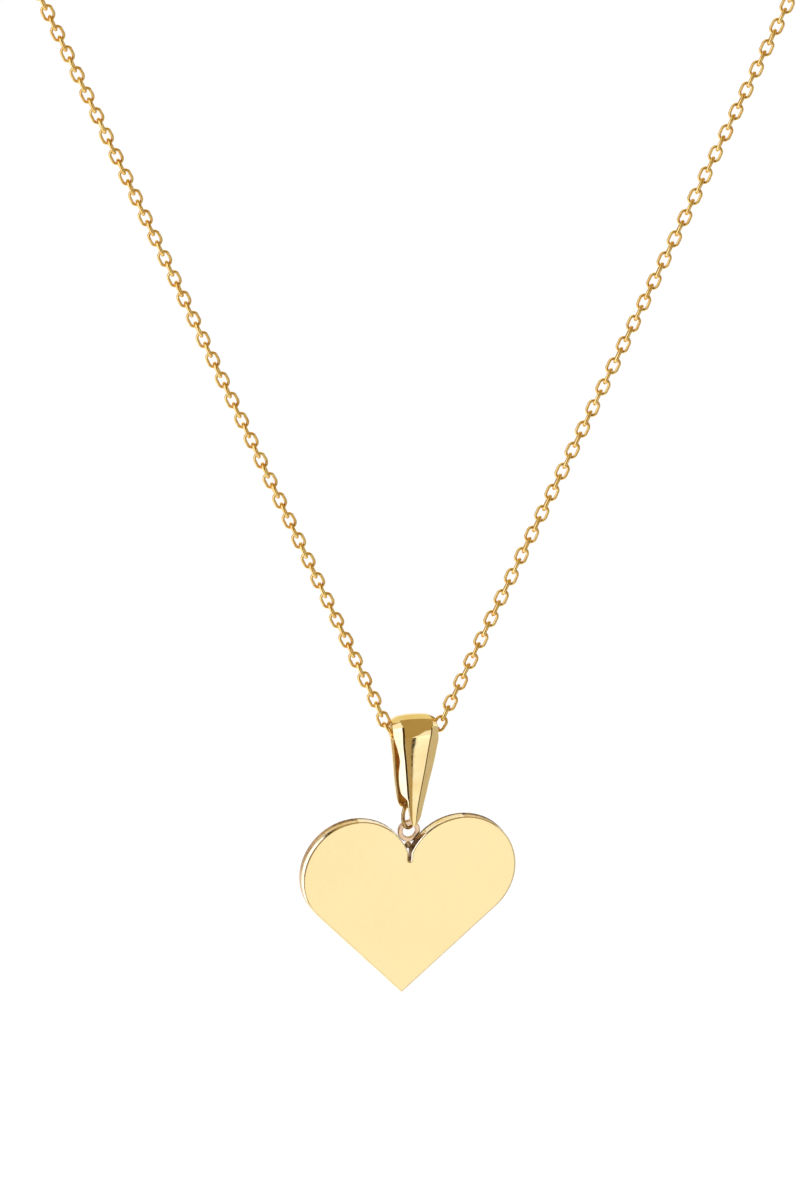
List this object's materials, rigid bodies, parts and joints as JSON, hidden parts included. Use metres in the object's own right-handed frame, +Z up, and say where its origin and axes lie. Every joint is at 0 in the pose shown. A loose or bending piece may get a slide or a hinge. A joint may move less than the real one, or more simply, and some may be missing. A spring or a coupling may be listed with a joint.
{
  "type": "pendant necklace",
  "caption": "Flat heart pendant on a folded faceted bail, hanging from a fine trace chain that closes with a spring ring clasp.",
  "frame": {"origin": "middle of the spring ring clasp, the top of the hanging loop, where a neck or a display arm carries it", "axes": "+Z up, the pendant hangs down -Z; the pendant's face looks towards -Y; the loop lies in the XZ plane, +X to the viewer's right"},
  "size_m": [0.1308, 0.0054, 0.1808],
  "materials": {
    "pendant_gold": "polished yellow gold",
    "chain_gold": "polished yellow gold, a little deeper in colour",
    "solder_gold": "satin, pinkish, from the soldering",
    "spring_steel": "drawn spring wire"
  },
  "bodies": {
    "necklace": {"chain_right": "chain_gold", "chain_left": "chain_gold", "right_end_link_1": "chain_gold", "right_end_link_2": "chain_gold", "right_end_link_3": "chain_gold", "left_end_link_1": "chain_gold", "left_end_link_2": "chain_gold", "left_end_link_3": "chain_gold", "bail_link_1": "chain_gold", "bail_link_2": "chain_gold", "bail_link_3": "chain_gold", "bail_link_4": "chain_gold", "bail_link_5": "chain_gold", "bail_link_6": "chain_gold", "bail_link_7": "chain_gold", "clasp_body": "pendant_gold", "clasp_spring": "spring_steel", "clasp_eye": "pendant_gold", "clasp_jump_ring": "chain_gold", "catch_ring": "pendant_gold", "catch_jump_ring": "chain_gold"},
    "bail": {"bail": "pendant_gold"},
    "hang_ring": {"hang_ring": "pendant_gold"},
    "heart": {"heart_plate": "pendant_gold", "heart_eye": "solder_gold", "solder_bead": "solder_gold"},
    "clasp_bolt": {"clasp_bolt": "pendant_gold", "clasp_knob": "pendant_gold"}
  },
  "joints": [
    {"name": "bail_swing", "type": "hinge", "parent": "necklace", "child": "bail", "pos_m": [0, 0, -0.1525], "axis": [1, 0, 0], "range_deg": [-60, 60]},
    {"name": "ring_swing", "type": "hinge", "parent": "bail", "child": "hang_ring", "pos_m": [-0.00012, 0.00005, -0.15987], "axis": [0, 1, 0], "range_deg": [-12, 15]},
    {"name": "heart_swing", "type": "hinge", "parent": "hang_ring", "child": "heart", "pos_m": [-0.00017, 0.00005, -0.1622], "axis": [0.7071, 0.7071, 0], "range_deg": [-40, 40]},
    {"name": "bolt_slide", "type": "hinge", "parent": "necklace", "child": "clasp_bolt", "pos_m": [0, 0, 0], "axis": [0, 0, 1], "range_deg": [-50, 0], "stiffness_Nm_per_rad": 0.0037, "springref_deg": 17.19, "deforming": ["clasp_spring"]}
  ]
}
